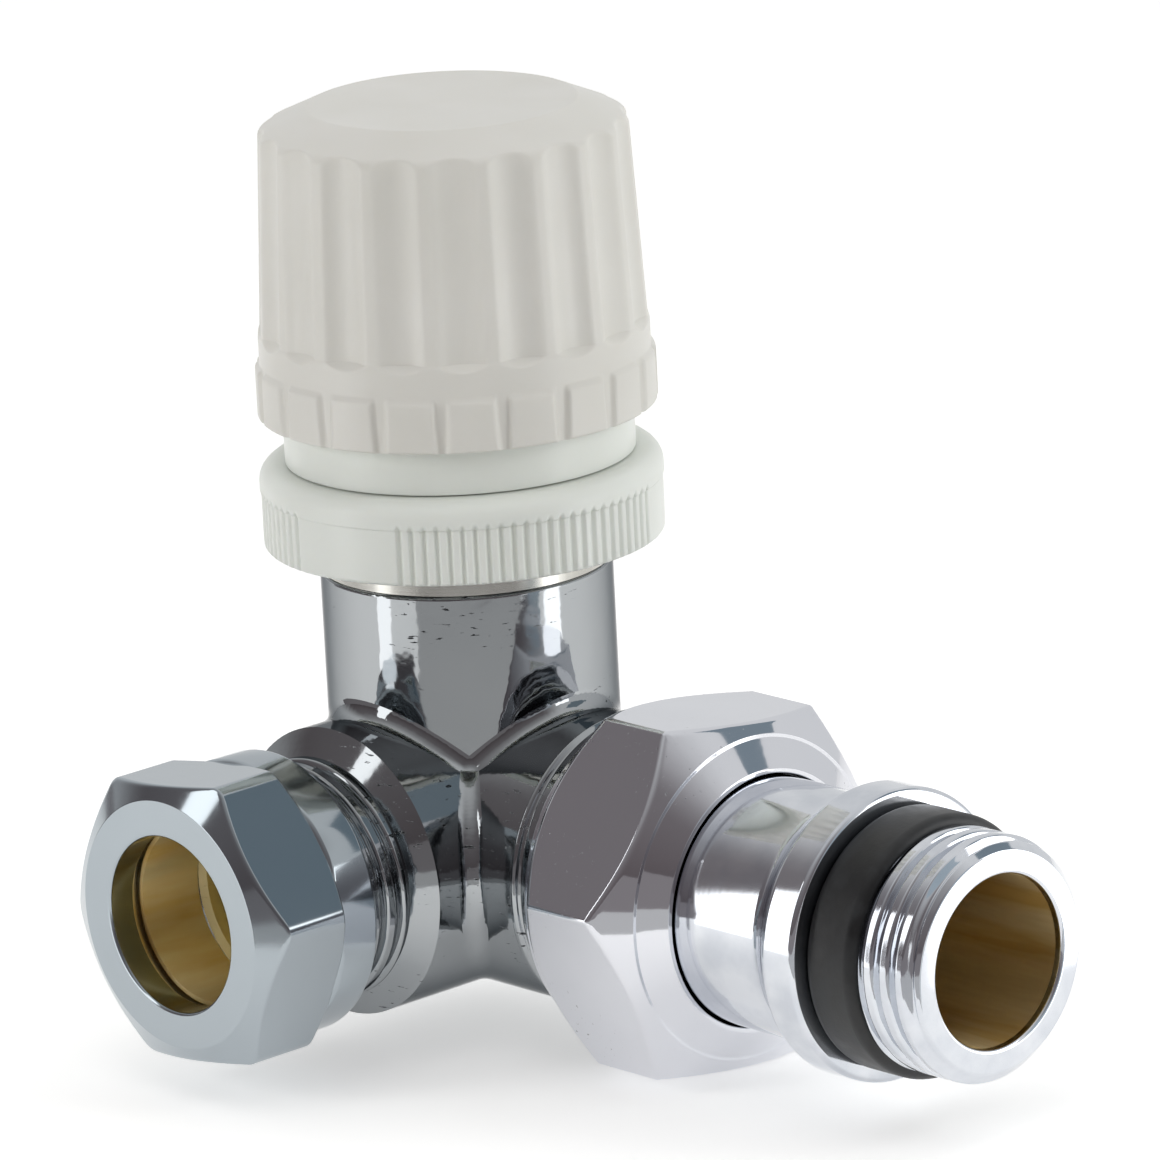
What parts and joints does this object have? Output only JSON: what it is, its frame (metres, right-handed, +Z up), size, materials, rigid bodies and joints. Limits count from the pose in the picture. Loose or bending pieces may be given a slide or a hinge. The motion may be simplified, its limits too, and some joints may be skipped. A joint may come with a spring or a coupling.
{
  "type": "angled radiator valve",
  "caption": "Angled chrome radiator valve: forged body with a compression inlet, a union tail for the radiator and a fluted white hand cap on a knurled lock ring.",
  "frame": {"origin": "on the tail axis, where the radiator thread starts at the tail's rubber seal", "axes": "+X along the tail into the radiator, -Y out of the pipe inlet, +Z up the head axis"},
  "size_m": [0.0799, 0.0531, 0.0801],
  "materials": {
    "chrome_plate": "bright chrome plate on forged and turned brass",
    "nickel_plate": "warm nickel plate on turned brass",
    "brass": "turned, unplated",
    "steel": "drawn and ground stainless steel",
    "rubber": "moulded, satin black",
    "cap_plastic": "moulded, satin white",
    "ring_plastic": "moulded, satin white, slightly cooler"
  },
  "bodies": {
    "valve": {"valve_body": "chrome_plate", "bonnet": "nickel_plate", "bonnet_o_ring": "rubber", "gland_nut": "brass", "gland_o_ring": "rubber", "return_spring": "steel"},
    "head": {"head_sleeve": "cap_plastic"},
    "ring": {"lock_ring": "ring_plastic"},
    "pin": {"pressure_pin": "ring_plastic"},
    "cap": {"hand_cap": "cap_plastic"},
    "stem": {"spindle": "steel", "spring_collar": "brass", "collar_clip": "steel", "disc_holder": "brass", "seat_washer": "rubber", "disc_nut": "brass"},
    "tail": {"tail_piece": "chrome_plate", "tail_seal": "rubber", "union_o_ring": "rubber"},
    "large_nut": {"union_nut": "chrome_plate", "union_clip": "steel"},
    "squeeze_ring": {"olive": "brass"},
    "pipe_nut": {"compression_nut": "chrome_plate"}
  },
  "joints": [
    {"name": "head_lift", "type": "slide", "parent": "valve", "child": "head", "axis": [0, 0, 1], "range_m": [0, 0.0046]},
    {"name": "lock_ring_turn", "type": "hinge", "parent": "head", "child": "ring", "pos_m": [-0.0564, 0, 0.03], "axis": [0, 0, 1], "range_deg": [0, 1080]},
    {"name": "pin_stroke", "type": "slide", "parent": "head", "child": "pin", "axis": [0, 0, 1], "range_m": [-0.0031, 0.0001]},
    {"name": "cap_turn", "type": "hinge", "parent": "pin", "child": "cap", "pos_m": [-0.0564, 0, 0.05], "axis": [0, 0, 1], "range_deg": [-540, 0]},
    {"name": "spindle_stroke", "type": "slide", "parent": "valve", "child": "stem", "axis": [0, 0, 1], "range_m": [-0.0031, 0.0001], "deforming": ["return_spring"]},
    {"name": "tail_draw", "type": "slide", "parent": "valve", "child": "tail", "axis": [1, 0, 0], "range_m": [0, 0.0055]},
    {"name": "union_nut_turn", "type": "hinge", "parent": "tail", "child": "large_nut", "pos_m": [-0.028, 0, 0], "axis": [1, 0, 0], "range_deg": [0, 1080]},
    {"name": "olive_draw", "type": "slide", "parent": "valve", "child": "squeeze_ring", "axis": [0, -1, 0], "range_m": [0, 0.0037]},
    {"name": "pipe_nut_turn", "type": "hinge", "parent": "squeeze_ring", "child": "pipe_nut", "pos_m": [-0.0564, -0.03, 0], "axis": [0, -1, 0], "range_deg": [0, 720]}
  ],
  "couplings": [
    {"joint": "head_lift", "follows": "lock_ring_turn", "m_per_rad": 0.00023873},
    {"joint": "pin_stroke", "follows": "cap_turn", "m_per_rad": 0.00031831},
    {"joint": "spindle_stroke", "follows": "cap_turn", "m_per_rad": 0.00031831},
    {"joint": "tail_draw", "follows": "union_nut_turn", "m_per_rad": 0.00028871},
    {"joint": "olive_draw", "follows": "pipe_nut_turn", "m_per_rad": 0.00028871}
  ]
}
